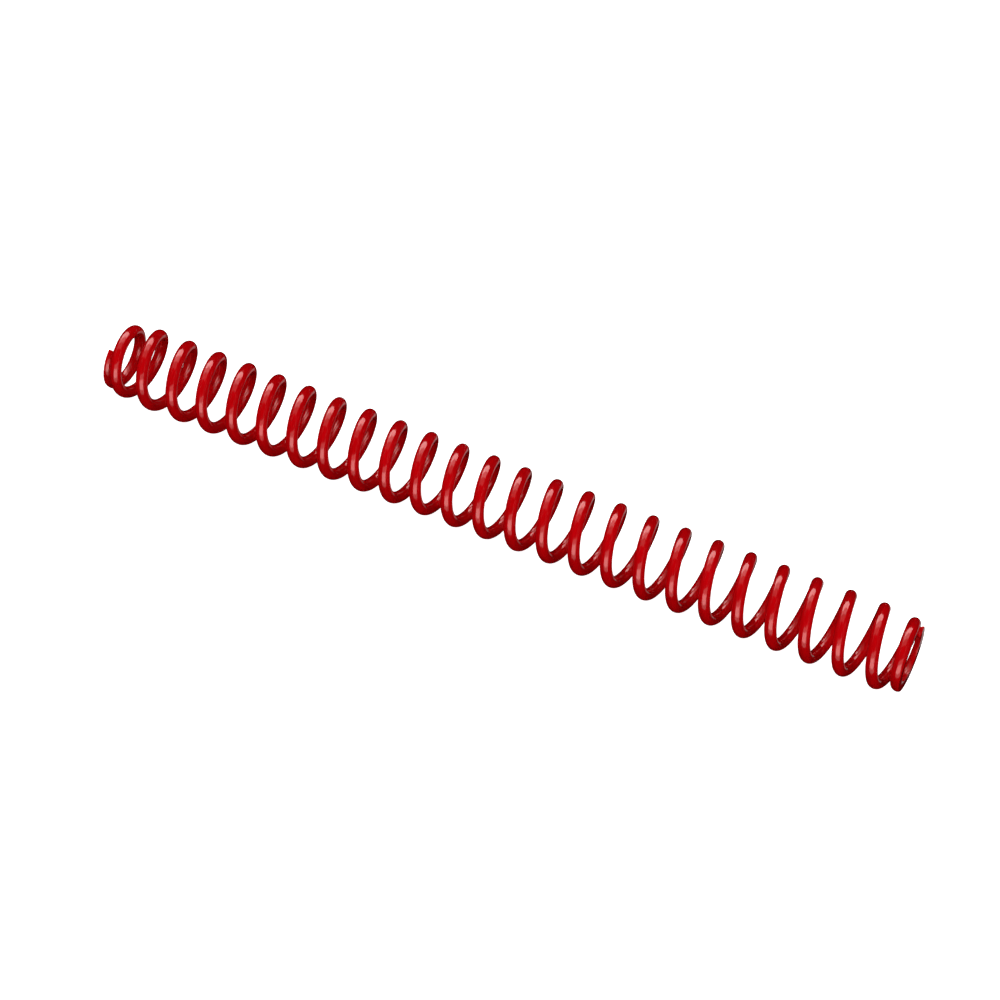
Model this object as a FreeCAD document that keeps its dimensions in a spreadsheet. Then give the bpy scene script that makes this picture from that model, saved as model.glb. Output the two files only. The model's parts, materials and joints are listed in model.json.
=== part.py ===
import FreeCAD, Part
import math
import os

# A long compression coil spring of round wire, wound right-handed, with closed and
# ground ends. The axis lies along +X and +Z is up. The origin is the centre of the
# ground seat of the fixed end, on the axis of the coil.
#
# The wire is made in the stretches that move as one: the two closed end coils, and
# the active coils in half turns. Each shape is first drawn with its seams on the +Y
# and -Y sides in turn. A spring shortens because its wire twists, and at those places
# the wire runs straight up or down, so each half turn hinges about that direction on
# the one before it. Then everything is rolled about the axis by the resting roll,
# which puts the centre of mass straight below the axis, where a spring comes to rest.

DIMENSIONS = {
    "wire_diameter": 5.0,
    "coil_radius": 15.0,           # axis of the coil to the centre of the wire
    "coil_pitch": 14.86,           # of the active coils
    "active_coils": 23,            # each one is an upper and a lower half turn
    "resting_roll": 28.9,          # puts the centre of mass straight below the axis
    "seam_clearance": 0.1,         # left off each side of a seam
    "grinding_depth": 10.0,        # size of the stock that grinding takes away

    "fixed_end_turns": 1.664,      # from the tip to the seam
    "fixed_closed_turns": 1.066,   # from the tip to where the coils open
    "fixed_closed_pitch": 3.72,
    "fixed_opening_blend": 0.158,  # turns over which the pitch opens
    "fixed_tip_inset": 3.52,       # how much smaller the coil radius is at the tip
    "fixed_taper_turns": 1.79,     # turns over which the radius grows to full size
    "fixed_tip_height": 0.21,      # centre of the wire above the seat, at the tip

    "moving_end_turns": 2.083,
    "moving_closed_turns": 1.018,
    "moving_closed_pitch": 3.76,
    "moving_opening_blend": 0.118,
    "moving_tip_inset": 3.55,
    "moving_taper_turns": 1.536,
    "moving_tip_height": -0.45,
}

FULL_TURN = 360.0
HALF_TURN = 180.0
SPINE_STEPS_PER_TURN = 24

doc = FreeCAD.newDocument("CoilSpring")
sheet = doc.addObject("Spreadsheet::Sheet", "Dimensions")
for row, (alias, value) in enumerate(DIMENSIONS.items(), start=1):
    sheet.set(f"A{row}", alias)
    sheet.set(f"B{row}", str(value))
    sheet.setAlias(f"B{row}", alias)
doc.recompute()

X_AXIS = FreeCAD.Vector(1, 0, 0)
Y_AXIS = FreeCAD.Vector(0, 1, 0)
Z_AXIS = FreeCAD.Vector(0, 0, 1)

# A helix is drawn round its own Z from its own X. This turn lays it along X, with
# its start on the +Y side.
LAY_ALONG_X = FreeCAD.Rotation(FreeCAD.Vector(1, 1, 1), 120)

parts = []


def turn_length():
    """Length of wire in one active turn."""
    return math.hypot(2 * math.pi * sheet.coil_radius, sheet.coil_pitch)


def seam_setback():
    """The seam clearance as a fraction of a turn."""
    return sheet.seam_clearance / turn_length()


def of_end(end, word):
    """One dimension of the fixed or the moving end."""
    return getattr(sheet, f"{end}_{word}")


def axial_position(end, turns):
    """Height of the wire's centre above the seat of an end, some turns after its tip."""
    blend = of_end(end, "opening_blend")
    closed_turns = of_end(end, "closed_turns")
    closed_pitch = of_end(end, "closed_pitch")
    opened = blend * math.log1p(math.exp((turns - closed_turns) / blend))
    closed = of_end(end, "tip_height") + closed_pitch * turns
    return closed + (sheet.coil_pitch - closed_pitch) * opened


def radius_at(end, turns):
    """Coil radius some turns after the tip of an end."""
    left = max(0.0, 1.0 - turns / of_end(end, "taper_turns"))
    return sheet.coil_radius - of_end(end, "tip_inset") * left


def end_coil_point(end, turns):
    """Centre of the wire in an end coil whose seam is on the +Y side."""
    angle = 2 * math.pi * (turns - of_end(end, "end_turns"))
    radius = radius_at(end, turns)
    return FreeCAD.Vector(
        axial_position(end, turns), radius * math.cos(angle), radius * math.sin(angle)
    )


def wire_section(name, centre, tangent):
    """The round section of the wire, square to the way it runs."""
    section = doc.addObject("Part::Circle", name)
    section.setExpression("Radius", "Dimensions.wire_diameter / 2")
    section.Placement = FreeCAD.Placement(centre, FreeCAD.Rotation(Z_AXIS, tangent))
    return section


def sweep_wire(name, section, spine):
    """Run the wire's section along a spine as a solid."""
    sweep = doc.addObject("Part::Sweep", name)
    sweep.Sections = [section]
    sweep.Spine = (spine, ["Edge1"])
    sweep.Solid = True
    sweep.Frenet = True
    return sweep


def end_coil(end, placement):
    """The closed coil of an end, from its ground tip to its seam."""
    name = f"{end}_end_coil"
    seam = of_end(end, "end_turns") - seam_setback()
    steps = math.ceil(seam * SPINE_STEPS_PER_TURN)
    stations = [seam * step / steps for step in range(steps + 1)]
    curve = Part.BSplineCurve()
    curve.interpolate([end_coil_point(end, turns) for turns in stations])
    spine = doc.addObject("Part::Feature", f"{name}_spine")
    spine.Shape = Part.Wire([curve.toShape()])

    start = curve.FirstParameter
    section = wire_section(f"{name}_section", curve.value(start), curve.tangent(start)[0])
    wound = sweep_wire(f"{name}_wound", section, spine)

    stock = doc.addObject("Part::Box", f"{name}_stock")
    across = "4 * Dimensions.coil_radius"
    stock.setExpression("Length", "Dimensions.grinding_depth")
    stock.setExpression("Width", across)
    stock.setExpression("Height", across)
    stock.setExpression("Placement.Base.x", "-Dimensions.grinding_depth")
    stock.setExpression("Placement.Base.y", "-2 * Dimensions.coil_radius")
    stock.setExpression("Placement.Base.z", "-2 * Dimensions.coil_radius")

    ground = doc.addObject("Part::Cut", name)
    ground.Base = wound
    ground.Tool = stock
    ground.Placement = placement
    ground.Label = name
    parts.append(ground)


def half_turn_spine():
    """The helix that every half turn of the active coils follows."""
    helix = doc.addObject("Part::Helix", "half_turn_spine")
    helix.setExpression("Radius", "Dimensions.coil_radius")
    helix.setExpression("Pitch", "Dimensions.coil_pitch")
    helix.Height = sheet.coil_pitch * (0.5 - 2 * seam_setback())
    helix.Angle = 0
    return helix


def half_turn_section():
    """The wire's section at the start of that helix."""
    tangent = FreeCAD.Vector(0, 2 * math.pi * sheet.coil_radius, sheet.coil_pitch)
    return wire_section("half_turn_section", X_AXIS * sheet.coil_radius, tangent)


def active_coils(first_seam):
    """Every active coil, as an upper and a lower half turn."""
    spine = half_turn_spine()
    section = half_turn_section()
    half_pitch = sheet.coil_pitch / 2
    setback = seam_setback()
    for index in range(2 * int(sheet.active_coils)):
        side = "upper" if index % 2 == 0 else "lower"
        name = f"coil_{index // 2 + 1:02d}_{side}_half"
        half = sweep_wire(name, section, spine)
        start = first_seam + index * half_pitch + setback * sheet.coil_pitch
        turned = sheet.resting_roll + index * HALF_TURN + setback * FULL_TURN
        roll = FreeCAD.Rotation(X_AXIS, turned)
        half.Placement = FreeCAD.Placement(X_AXIS * start, roll * LAY_ALONG_X)
        half.Label = name
        parts.append(half)


first_seam = axial_position("fixed", sheet.fixed_end_turns)
last_seam = first_seam + sheet.active_coils * sheet.coil_pitch
free_length = last_seam + axial_position("moving", sheet.moving_end_turns)

resting = FreeCAD.Rotation(X_AXIS, sheet.resting_roll)
turned_round = resting * FreeCAD.Rotation(Y_AXIS, HALF_TURN)
end_coil("fixed", FreeCAD.Placement(FreeCAD.Vector(), resting))
active_coils(first_seam)
end_coil("moving", FreeCAD.Placement(X_AXIS * free_length, turned_round))

doc.recompute()

for item in doc.Objects:
    if "Invalid" in item.State or "Error" in item.State:
        raise RuntimeError(f"{item.Label} failed: {item.State}")
for part in parts:
    shape = part.Shape
    if shape.isNull() or not shape.isValid() or len(shape.Solids) != 1:
        raise RuntimeError(f"{part.Label} is not one valid solid")

os.makedirs("parts", exist_ok=True)
for part in parts:
    part.Shape.exportStep(f"parts/{part.Label}.step")

section_area = math.pi * sheet.wire_diameter**2 / 4
half_turn_volume = section_area * turn_length() * (0.5 - 2 * seam_setback())
print(f"{len(parts)} stretches of wire")
print(f"first seam {first_seam:.3f}, last seam {last_seam:.3f}, free length {free_length:.3f} mm")
print(f"half turn volume {parts[1].Shape.Volume:.2f}, expected {half_turn_volume:.2f} mm3")
whole_volume = sum(part.Shape.Volume for part in parts)
centre = FreeCAD.Vector()
for part in parts:
    solid = part.Shape.Solids[0]
    centre += solid.CenterOfMass * (solid.Volume / whole_volume)
print(f"whole volume {whole_volume:.1f} mm3, centre of mass {centre}")
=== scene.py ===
# %% [markdown]
# # A fork spring, one turn at a time
# The object is a long compression spring: one red powder-coated wire, wound into a
# right-handed coil, with its two ends closed up and ground flat. It lies on its side
# on a pale table. The engineering model comes first, as a fixed frame. Everything
# modelled here has to sit exactly where that frame says.

# %% Load the frame
import json
import math
from collections import namedtuple

import bpy
from mathutils import Matrix, Quaternion, Vector


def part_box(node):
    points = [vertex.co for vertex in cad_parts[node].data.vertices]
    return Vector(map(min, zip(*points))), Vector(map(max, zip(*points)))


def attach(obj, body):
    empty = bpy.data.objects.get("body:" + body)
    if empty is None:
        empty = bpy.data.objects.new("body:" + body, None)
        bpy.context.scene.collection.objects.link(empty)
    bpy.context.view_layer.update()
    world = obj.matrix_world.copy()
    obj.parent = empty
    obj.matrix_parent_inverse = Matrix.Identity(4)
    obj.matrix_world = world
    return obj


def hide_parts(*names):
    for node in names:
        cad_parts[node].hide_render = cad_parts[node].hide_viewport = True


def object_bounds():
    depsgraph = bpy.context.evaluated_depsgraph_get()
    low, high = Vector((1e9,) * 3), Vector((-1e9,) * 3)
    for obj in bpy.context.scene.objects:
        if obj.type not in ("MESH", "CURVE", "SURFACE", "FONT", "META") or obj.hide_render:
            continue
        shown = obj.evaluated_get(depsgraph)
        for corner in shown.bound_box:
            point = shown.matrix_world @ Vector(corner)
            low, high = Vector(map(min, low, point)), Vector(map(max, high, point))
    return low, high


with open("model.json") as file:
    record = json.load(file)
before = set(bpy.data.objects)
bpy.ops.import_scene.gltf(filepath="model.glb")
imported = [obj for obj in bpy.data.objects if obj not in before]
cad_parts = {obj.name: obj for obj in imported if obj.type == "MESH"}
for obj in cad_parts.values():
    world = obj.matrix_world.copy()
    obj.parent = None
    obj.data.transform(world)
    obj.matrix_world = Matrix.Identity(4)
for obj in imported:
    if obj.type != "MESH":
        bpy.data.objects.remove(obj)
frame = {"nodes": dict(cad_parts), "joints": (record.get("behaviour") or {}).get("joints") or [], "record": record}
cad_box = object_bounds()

print("parts in the frame:", len(frame["nodes"]))

# %% [markdown]
# ## The spring's own measures
# A spring is described by very few numbers: the wire's diameter, the coil's radius,
# the pitch, and how the ends are closed. The frame knows most of them. Its hinges
# stand on the centre line of the wire, half a turn apart, so two neighbours give the
# radius and the pitch, and the box of a half turn gives the wire. The first hinge also
# tells how far the spring is rolled on its axis, to lie with its centre of mass lowest.
# The frame's wire is bare steel, and a tenth of a millimetre of powder coat goes on it.

# %% Read the driving sizes
joints = {joint["name"]: joint for joint in frame["joints"]}
first_hinge = Vector(joints["twist_01"]["pos_m"])
second_hinge = Vector(joints["twist_02"]["pos_m"])
low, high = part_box("coil_01_upper_half")

COIL_RADIUS = math.hypot(first_hinge.y, first_hinge.z)
RESTING_ROLL = math.atan2(first_hinge.z, first_hinge.y)
HALF_PITCH = second_hinge.x - first_hinge.x
PITCH = 2 * HALF_PITCH
BARE_RADIUS = high[2] - COIL_RADIUS
COAT_THICKNESS = 0.0001
WIRE_RADIUS = BARE_RADIUS + COAT_THICKNESS
FIRST_SEAM = first_hinge.x
FREE_LENGTH = cad_box[1][0]
print(f"coil radius {COIL_RADIUS * 1000:.2f} mm, pitch {PITCH * 1000:.2f} mm")
print(f"coated wire {WIRE_RADIUS * 2000:.2f} mm, "
      f"free length {FREE_LENGTH * 1000:.1f} mm")
print(f"rolled {math.degrees(RESTING_ROLL):.1f} degrees on its axis")

# %% [markdown]
# The two ends are closed a little differently. Each is set by seven numbers: the turns
# from its tip to its seam, the turns that lie closed, the pitch of those, the turns
# over which the coil opens, how far the tip is drawn in and over how many turns, and
# how high the wire's centre is over the seat at the tip. The moving end is ground
# deeper: its centre line passes just below the seat.

# %% The ends, as the coiling machine sets them
End = namedtuple("End", "turns closed_turns closed_pitch blend inset taper tip_height")
FIXED_END = End(
    turns=1.664, closed_turns=1.066, closed_pitch=0.00372, blend=0.158,
    inset=0.00352, taper=1.79, tip_height=0.00021,
)
MOVING_END = End(
    turns=2.083, closed_turns=1.018, closed_pitch=0.00376, blend=0.118,
    inset=0.00355, taper=1.536, tip_height=-0.00045,
)
print("turns in the two ends:", FIXED_END.turns, MOVING_END.turns)

# %% [markdown]
# Two formulas describe the wire's path in an end. Counting turns from the tip, the
# wire first climbs slowly, so that the turns lie side by side, and then opens to the
# full pitch over a short stretch. Over the same turns its radius grows, because the
# closing machine draws the end in a little.

# %% The wire's path in an end
def climb(end, turns):
    """Height of the wire's centre over the seat, some turns after the tip."""
    opened = end.blend * math.log1p(math.exp((turns - end.closed_turns) / end.blend))
    closed = end.tip_height + end.closed_pitch * turns
    return closed + (PITCH - end.closed_pitch) * opened


def draw_in(end, turns):
    """How much smaller the coil's radius is there."""
    return end.inset * max(0.0, 1.0 - turns / end.taper)


print(f"the fixed end rises to {climb(FIXED_END, FIXED_END.turns) * 1000:.2f} mm, "
      f"and the first seam is at {FIRST_SEAM * 1000:.2f} mm")

# %% [markdown]
# ## Start from an empty selection
# An operator acts on everything that is selected, and the frame's own parts are
# selected when it has loaded. One small helper empties the selection.

# %% A helper for the selection
def select_only(piece=None):
    """Leave edit mode, and leave only this piece selected and active."""
    if bpy.context.object and bpy.context.object.mode != "OBJECT":
        bpy.ops.object.mode_set(mode="OBJECT")
    bpy.ops.object.select_all(action="DESELECT")
    if piece:
        piece.select_set(True)
        bpy.context.view_layer.objects.active = piece


select_only()
print("selected now:", len(bpy.context.selected_objects))

# %% [markdown]
# ## The camera
# The camera stands a little to the right of the spring's middle and looks down on it
# through a long lens, so the near end is only a little larger than the far end. It
# aims a few millimetres from the middle of the spring's axis, and is tipped sideways
# by thirteen degrees, so that the spring runs down to the right.

# %% Place the camera
LENS_MM = 111.1
CAMERA_DISTANCE = 3.5 * FREE_LENGTH
CAMERA_AZIMUTH = math.radians(17.31)
CAMERA_ELEVATION = math.radians(24.73)
CAMERA_TIP = math.radians(13.43)
AIM = Vector((FREE_LENGTH / 2 + 0.00066, -0.0036, 0.0022))

sight = Vector((
    math.cos(CAMERA_ELEVATION) * math.sin(CAMERA_AZIMUTH),
    -math.cos(CAMERA_ELEVATION) * math.cos(CAMERA_AZIMUTH),
    math.sin(CAMERA_ELEVATION),
))
level = sight.to_track_quat("Z", "Y")
tipped = level @ Quaternion((0, 0, 1), CAMERA_TIP)
bpy.ops.object.camera_add(location=AIM + sight * CAMERA_DISTANCE)
camera = bpy.context.object
camera.name = "camera"
camera.rotation_euler = tipped.to_euler()
camera.data.lens = LENS_MM
bpy.context.scene.camera = camera
print("camera at", [round(v, 3) for v in camera.location])

# %% [markdown]
# ## The wire's section
# The wire is round, so its section is a circle. It has to stand square to the way the
# wire runs, which climbs by the lead angle, or the finished wire would be oval. A
# Screw modifier then winds it in two sweeps, each over half of the turns.

# %% Draw the section and wind it
WIRE_SIDES = 40
STEPS_PER_TURN = 120
LEAD_ANGLE = math.atan2(PITCH, 2 * math.pi * COIL_RADIUS)


def wind(name, turns):
    """A tube of wire that winds from the +Y side, starting at x = 0."""
    select_only()
    bpy.ops.mesh.primitive_circle_add(
        vertices=WIRE_SIDES, radius=WIRE_RADIUS,
        location=(0, COIL_RADIUS, 0), rotation=(0, LEAD_ANGLE, 0),
    )
    coil = bpy.context.object
    coil.name = name
    coil.data.name = name
    bpy.ops.object.transform_apply(location=True, rotation=True, scale=True)
    screw = coil.modifiers.new("wind", "SCREW")
    screw.axis = "X"
    screw.iterations = 2
    screw.angle = math.pi * turns
    screw.screw_offset = PITCH * turns / 2
    screw.steps = round(STEPS_PER_TURN * turns / 2)
    screw.render_steps = screw.steps
    screw.use_merge_vertices = False
    bpy.ops.object.modifier_apply(modifier=screw.name)
    return coil


half_turn = wind("half_turn", 0.5)
print("half turn of wire:", len(half_turn.data.vertices), "points")

# %% [markdown]
# ## Rounded ends, hidden inside the next stretch
# Each stretch of wire meets the next at a seam and turns a little on it as the spring
# shortens. A flat end would open a crack there. A half ball centred on the seam can't,
# because it looks the same however it turns, so each end is domed into its neighbour.
# The end ring is extruded a little at a time and drawn in, as one would by hand.

# %% Dome an end
DOME_STEPS = 6
LEVEL_WITHIN = WIRE_RADIUS * 0.001
RING_WITHIN = WIRE_RADIUS * 1.01
SMOOTH_BELOW = math.radians(35)


def ring_centre(turns):
    """Where the wire's centre is, some turns after a start on the +Y side."""
    angle = 2 * math.pi * turns
    return Vector((
        PITCH * turns, COIL_RADIUS * math.cos(angle), COIL_RADIUS * math.sin(angle),
    ))


def heading(turns):
    """The way the wire runs there, as a unit vector."""
    angle = 2 * math.pi * turns
    across = math.cos(LEAD_ANGLE)
    return Vector((
        math.sin(LEAD_ANGLE), -across * math.sin(angle), across * math.cos(angle),
    ))


def select_ring(piece, centre, direction):
    """In edit mode, select the ring of points round this place on the wire."""
    bpy.ops.mesh.select_mode(type="VERT")
    bpy.ops.mesh.select_all(action="DESELECT")
    bpy.ops.object.mode_set(mode="OBJECT")
    for vertex in piece.data.vertices:
        away = vertex.co - centre
        level = abs(away.dot(direction)) < LEVEL_WITHIN
        vertex.select = level and away.length < RING_WITHIN
    bpy.ops.object.mode_set(mode="EDIT")


def dome(piece, turns, outward):
    """Close the wire's end there with a half ball, outward 1 or -1 along the wire."""
    centre = ring_centre(turns)
    direction = heading(turns) * outward
    select_only(piece)
    bpy.ops.object.mode_set(mode="EDIT")
    select_ring(piece, centre, direction)
    reach, width = 0.0, 1.0
    for step in range(1, DOME_STEPS):
        angle = math.pi / 2 * step / DOME_STEPS
        advance = math.sin(angle) - reach
        shrink = math.cos(angle) / width
        bpy.ops.mesh.extrude_region_move(
            TRANSFORM_OT_translate={"value": direction * advance * WIRE_RADIUS}
        )
        reach, width = math.sin(angle), math.cos(angle)
        bpy.ops.transform.resize(
            value=(shrink, shrink, shrink),
            center_override=centre + direction * reach * WIRE_RADIUS,
        )
    bpy.ops.mesh.extrude_region_move(
        TRANSFORM_OT_translate={"value": direction * (1 - reach) * WIRE_RADIUS}
    )
    bpy.ops.mesh.merge(type="CENTER")
    bpy.ops.object.mode_set(mode="OBJECT")


def finish_skin(piece):
    """Turn every face outward and smooth all but real corners."""
    select_only(piece)
    bpy.ops.object.mode_set(mode="EDIT")
    bpy.ops.mesh.select_all(action="SELECT")
    bpy.ops.mesh.normals_make_consistent(inside=False)
    bpy.ops.object.mode_set(mode="OBJECT")
    bpy.ops.object.shade_smooth_by_angle(angle=SMOOTH_BELOW)


dome(half_turn, 0.0, -1)
dome(half_turn, 0.5, 1)
finish_skin(half_turn)
print("domed half turn:", len(half_turn.data.vertices), "points")

# %% [markdown]
# ## The active coils
# The middle of the spring is the same half turn over and over. Each copy is rolled
# half a turn on the axis from the one before, and stands half a pitch further along.
# Each gets a mesh of its own, placed in the mesh itself, so that every object can stay
# at the origin.

# %% Lay out the half turns
active = [name for name in frame["nodes"] if name.endswith("_half")]
active.sort(key=lambda name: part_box(name)[0][0])
pieces = {}
for index, name in enumerate(active):
    piece = bpy.data.objects.new("wire_" + name, half_turn.data.copy())
    bpy.context.collection.objects.link(piece)
    roll = Matrix.Rotation(RESTING_ROLL + math.pi * index, 4, "X")
    shift = Matrix.Translation((FIRST_SEAM + index * HALF_PITCH, 0, 0))
    piece.data.transform(shift @ roll)
    piece.data.name = piece.name
    pieces[name] = piece
bpy.data.objects.remove(half_turn)
print(len(pieces), "half turns, the last from", active[-1])

# %% [markdown]
# ## The closed end coils
# An end starts as plain open coil. Ring by ring it is then pulled back to its lower
# climb and drawn in to its smaller radius, which is what the coiling machine's pitch
# and diameter tools do. Each ring is also tipped, to stay square to the wire.

# %% Close an end
def lead_at(end, turns):
    """The angle at which the wire climbs, some turns after the tip."""
    opened = 1 / (1 + math.exp((end.closed_turns - turns) / end.blend))
    rise = end.closed_pitch + (PITCH - end.closed_pitch) * opened
    return math.atan2(rise, 2 * math.pi * (COIL_RADIUS - draw_in(end, turns)))


def close_up(piece, end):
    """Move and tip each ring of an open coil, wound from its tip, into a closed end."""
    last_ring = 2 * round(STEPS_PER_TURN * end.turns / 2)
    for index, vertex in enumerate(piece.data.vertices):
        turns = end.turns * min(index // WIRE_SIDES, last_ring) / last_ring
        old_centre = ring_centre(turns)
        outward = Vector((0, old_centre.y, old_centre.z)).normalized()
        radius = COIL_RADIUS - draw_in(end, turns)
        new_centre = Vector((climb(end, turns), 0, 0)) + outward * radius
        tip = Matrix.Rotation(lead_at(end, turns) - LEAD_ANGLE, 3, outward)
        vertex.co = new_centre + tip @ (vertex.co - old_centre)


seam_lead = math.degrees(lead_at(FIXED_END, FIXED_END.turns))
print(f"the wire climbs at {math.degrees(LEAD_ANGLE):.2f} degrees in the open coils, "
      f"and at {seam_lead:.2f} where the fixed end meets them")

# %% [markdown]
# ## Grinding the seat
# A spring can't stand square on round wire, so its end is ground: everything below the
# seat plane is cut away and the cut is left flat. Bisect does this in one stroke, with
# a tolerance far below its usual tenth of a millimetre, which would fold thin faces
# over each other where the cut runs out. The grinder leaves a sharp edge, which is
# then broken with a narrow bevel, and the tip of the wire gets the same. Where the cut
# runs out thin, the bevel moves a few points past the seat, and those are pressed back
# onto it.

# %% Grind and break the edges
EDGE_BREAK = 0.00018
EDGE_STEPS = 2
EDGE_FROM = math.radians(40)
CUT_TOLERANCE = 0.0000001


def cap_tip(piece):
    """Close the cut end of the wire at its tip."""
    select_only(piece)
    bpy.ops.object.mode_set(mode="EDIT")
    bpy.ops.mesh.select_mode(type="VERT")
    bpy.ops.mesh.select_all(action="DESELECT")
    bpy.ops.object.mode_set(mode="OBJECT")
    for vertex in piece.data.vertices[:WIRE_SIDES]:
        vertex.select = True
    bpy.ops.object.mode_set(mode="EDIT")
    bpy.ops.mesh.edge_face_add()
    bpy.ops.object.mode_set(mode="OBJECT")


def grind(piece):
    """Cut the end flat at the seat plane and break its edges."""
    select_only(piece)
    bpy.ops.object.mode_set(mode="EDIT")
    bpy.ops.mesh.select_all(action="SELECT")
    bpy.ops.mesh.bisect(
        plane_co=(0, 0, 0), plane_no=(1, 0, 0), threshold=CUT_TOLERANCE,
        use_fill=True, clear_inner=True,
    )
    bpy.ops.object.mode_set(mode="OBJECT")
    edges = piece.modifiers.new("break_edges", "BEVEL")
    edges.width = EDGE_BREAK
    edges.segments = EDGE_STEPS
    edges.limit_method = "ANGLE"
    edges.angle_limit = EDGE_FROM
    bpy.ops.object.modifier_apply(modifier=edges.name)
    for vertex in piece.data.vertices:
        vertex.co.x = max(vertex.co.x, 0.0)


def end_coil(name, end, placement):
    """A closed, ground end coil: its tip at the seat, its seam on the +Y side."""
    piece = wind("wire_" + name, end.turns)
    dome(piece, end.turns, 1)
    close_up(piece, end)
    cap_tip(piece)
    grind(piece)
    finish_skin(piece)
    seam_to_side = Matrix.Rotation(-2 * math.pi * end.turns, 4, "X")
    piece.data.transform(placement @ seam_to_side)
    print(name, "has", len(piece.data.polygons), "faces")
    return piece


resting = Matrix.Rotation(RESTING_ROLL, 4, "X")
turned_over = Matrix.Rotation(math.pi, 4, "Y")
far_end = Matrix.Translation((FREE_LENGTH, 0, 0)) @ resting @ turned_over
pieces["fixed_end_coil"] = end_coil("fixed_end_coil", FIXED_END, resting)
pieces["moving_end_coil"] = end_coil("moving_end_coil", MOVING_END, far_end)

# %% [markdown]
# ## Red powder coat
# The coat is sprayed as powder and melted on, so it is thick, glossy and a little
# uneven: it has a faint orange peel, a very fine grain in its gloss, and a slightly
# brighter red where it has flowed thick and covers better. All three are noise at their
# own scale, read from Object coordinates, which here are the spring's own metres. The
# numbers that are the same all over stand on the shader's own sockets.

# %% Mix the powder coat
def set_sockets(node, **values):
    """Set some of a node's inputs; underscores stand for spaces."""
    for name, value in values.items():
        node.inputs[name.replace("_", " ")].default_value = value
    return node


def add_node(tree, kind, **values):
    """A new shader node with some of its inputs set."""
    return set_sockets(tree.nodes.new(kind), **values)


def new_material(name, **values):
    """A material with one shader, whose inputs are set; and that shader."""
    material = bpy.data.materials.new(name)
    material.use_nodes = True
    return material, set_sockets(material.node_tree.nodes["Principled BSDF"], **values)


THIN_RED = (0.52, 0.0003, 0.0022, 1)
THICK_RED = (0.60, 0.0006, 0.0032, 1)


def powder_coat():
    """The red coat: its tint, its gloss and its orange peel."""
    material, shader = new_material(
        "red_powder_coat", IOR=1.5, Specular_IOR_Level=0.75,
        Specular_Tint=(1, 0.5, 0.47, 1), Coat_Weight=0.3, Coat_Roughness=0.05,
    )
    tree = material.node_tree
    link = tree.links.new

    place = tree.nodes.new("ShaderNodeTexCoord").outputs["Object"]
    flow = add_node(tree, "ShaderNodeTexNoise", Scale=140.0, Detail=3.0)
    grain = add_node(tree, "ShaderNodeTexNoise", Scale=2600.0, Detail=2.0)
    peel = add_node(tree, "ShaderNodeTexNoise", Scale=700.0, Detail=1.0)
    for noise in (flow, grain, peel):
        link(place, noise.inputs["Vector"])

    tint = tree.nodes.new("ShaderNodeValToRGB")
    thin, thick = tint.color_ramp.elements
    thin.position, thin.color = 0.3, THIN_RED
    thick.position, thick.color = 0.7, THICK_RED
    link(flow.outputs["Fac"], tint.inputs["Fac"])
    link(tint.outputs["Color"], shader.inputs["Base Color"])

    gloss = add_node(tree, "ShaderNodeMapRange", To_Min=0.09, To_Max=0.15)
    link(grain.outputs["Fac"], gloss.inputs["Value"])
    link(gloss.outputs["Result"], shader.inputs["Roughness"])

    skin = add_node(tree, "ShaderNodeBump", Strength=0.25, Distance=0.00003)
    link(peel.outputs["Fac"], skin.inputs["Height"])
    link(skin.outputs["Normal"], shader.inputs["Normal"])
    return material


coat = powder_coat()
for piece in pieces.values():
    piece.data.materials.clear()
    piece.data.materials.append(coat)
print("coated", len(pieces), "stretches of wire")

# %% [markdown]
# ## Join the looks to the motion
# Each stretch of wire rides on the body of the part that it stands for, and that part
# is hidden.

# %% Ride and replace
body_of = {}
for body, nodes in frame["record"]["behaviour"]["bodies"].items():
    for node in nodes:
        body_of[node] = body
for name, piece in pieces.items():
    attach(piece, body_of[name])
    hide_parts(name)

# %% [markdown]
# ## The table and the tent
# The table is plain and white, and stands inside a round white tent, so that every
# view has the same background. Both glow white by themselves. They are kept out of the
# light and the gloss, so that the lamps and the world alone decide how the wire looks.

# %% Lay the table and put the white tent round it
TABLE_SIZE = 20
TENT_RADIUS = 9
white = new_material(
    "studio_white", Base_Color=(0.92, 0.92, 0.92, 1), Roughness=0.9,
    Emission_Color=(1, 1, 1, 1), Emission_Strength=1.0,
)[0]


def studio_white(name):
    """Paint the active object white, and keep it out of the light and the gloss."""
    backdrop = bpy.context.object
    backdrop.name = name
    backdrop.visible_diffuse = False
    backdrop.visible_glossy = False
    backdrop.visible_shadow = False
    backdrop.data.materials.append(white)


select_only()
under_spring = (FREE_LENGTH / 2, 0, cad_box[0][2])
bpy.ops.mesh.primitive_plane_add(size=TABLE_SIZE, location=under_spring)
studio_white("table")
bpy.ops.mesh.primitive_uv_sphere_add(
    radius=TENT_RADIUS, segments=48, ring_count=24, location=under_spring,
)
studio_white("tent")
print("table at z =", round(under_spring[2], 4))

# %% [markdown]
# ## The lamps
# Five wide soft lamps light the red itself, and don't show in the gloss. What shows
# there comes from soft panels that light nothing else: three overhead, for the
# highlight that starts crisply on the upper part of each coil and fades downward, and
# two in front and low down, where the white table would be seen in the gloss, for the
# one on the lower part. A weak one behind draws the thin glint inside the top of each
# coil.

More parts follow.
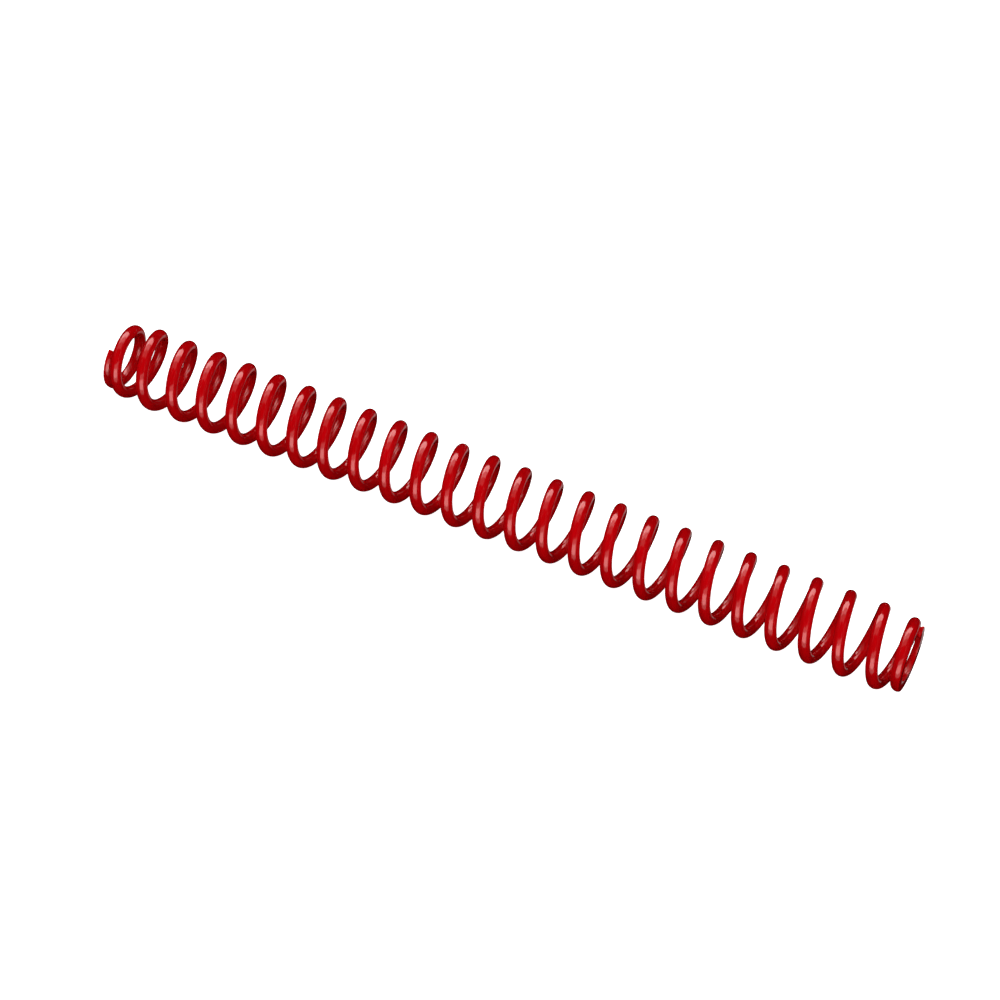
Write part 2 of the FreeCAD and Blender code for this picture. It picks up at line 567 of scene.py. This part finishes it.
# %% Hang the lamps
LAMP_DISTANCE = 2.0
FILL_SIZE = (1.6, 1.6)
FILLS = {
    "fill_left": ((-0.7, -0.45, 0.55), 18),
    "fill_right": ((0.8, -0.5, 0.35), 19),
    "fill_top": ((0.1, -0.15, 0.95), 13),
    "fill_front": ((0.1, -0.95, -0.25), 17),
    "fill_back": ((0.1, 0.95, 0.05), 28),
}
GLOSS_PANELS = {
    "overhead_edge": ((-0.31, 0.22, 0.88), (3.0, 0.8), 33),
    "overhead_middle": ((-0.33, -0.12, 0.92), (3.0, 0.7), 12),
    "overhead_front": ((-0.33, -0.46, 0.82), (3.0, 0.8), 4),
    "front_core": ((0.37, -0.85, -0.42), (2.2, 1.0), 18),
    "front_wide": ((0.45, -0.85, -0.4), (2.7, 2.2), 20),
    "back_glint": ((0.2, 0.93, -0.3), (0.8, 0.5), 0.4),
}
middle = Vector((FREE_LENGTH / 2, 0, 0))


def soft_panel(name, direction, size, watts, in_gloss):
    """A rectangular lamp facing the spring and lying along it, for colour or gloss."""
    toward = Vector(direction).normalized()
    upward = toward.cross(Vector((1, 0, 0))).normalized()
    turned = Matrix((upward.cross(toward), upward, toward)).transposed()
    bpy.ops.object.light_add(type="AREA", location=middle + toward * LAMP_DISTANCE)
    lamp = bpy.context.object
    lamp.name = name
    lamp.rotation_euler = turned.to_euler()
    lamp.data.shape = "RECTANGLE"
    lamp.data.size, lamp.data.size_y = size
    lamp.data.energy = watts
    lamp.visible_camera = False
    lamp.visible_glossy = in_gloss
    lamp.visible_diffuse = not in_gloss


for name, (direction, watts) in FILLS.items():
    soft_panel(name, direction, FILL_SIZE, watts, in_gloss=False)
for name, (direction, size, watts) in GLOSS_PANELS.items():
    soft_panel(name, direction, size, watts, in_gloss=True)
print(len(FILLS), "lamps for the colour,", len(GLOSS_PANELS), "for the gloss")

# %% [markdown]
# ## The world
# A dim world softens the deepest shadows. It stays out of the gloss as well, so that
# only the panels are seen there.

# %% Dim the world
world = bpy.data.worlds.new("studio")
bpy.context.scene.world = world
world.use_nodes = True
set_sockets(world.node_tree.nodes["Background"], Color=(1, 1, 1, 1), Strength=0.03)
world.cycles_visibility.glossy = False
bpy.context.scene.view_settings.view_transform = "Standard"
print("view transform:", bpy.context.scene.view_settings.view_transform)

# %% [markdown]
# ## Close the file
# At the end, nothing is left selected.

# %% Empty the selection and finish
select_only()
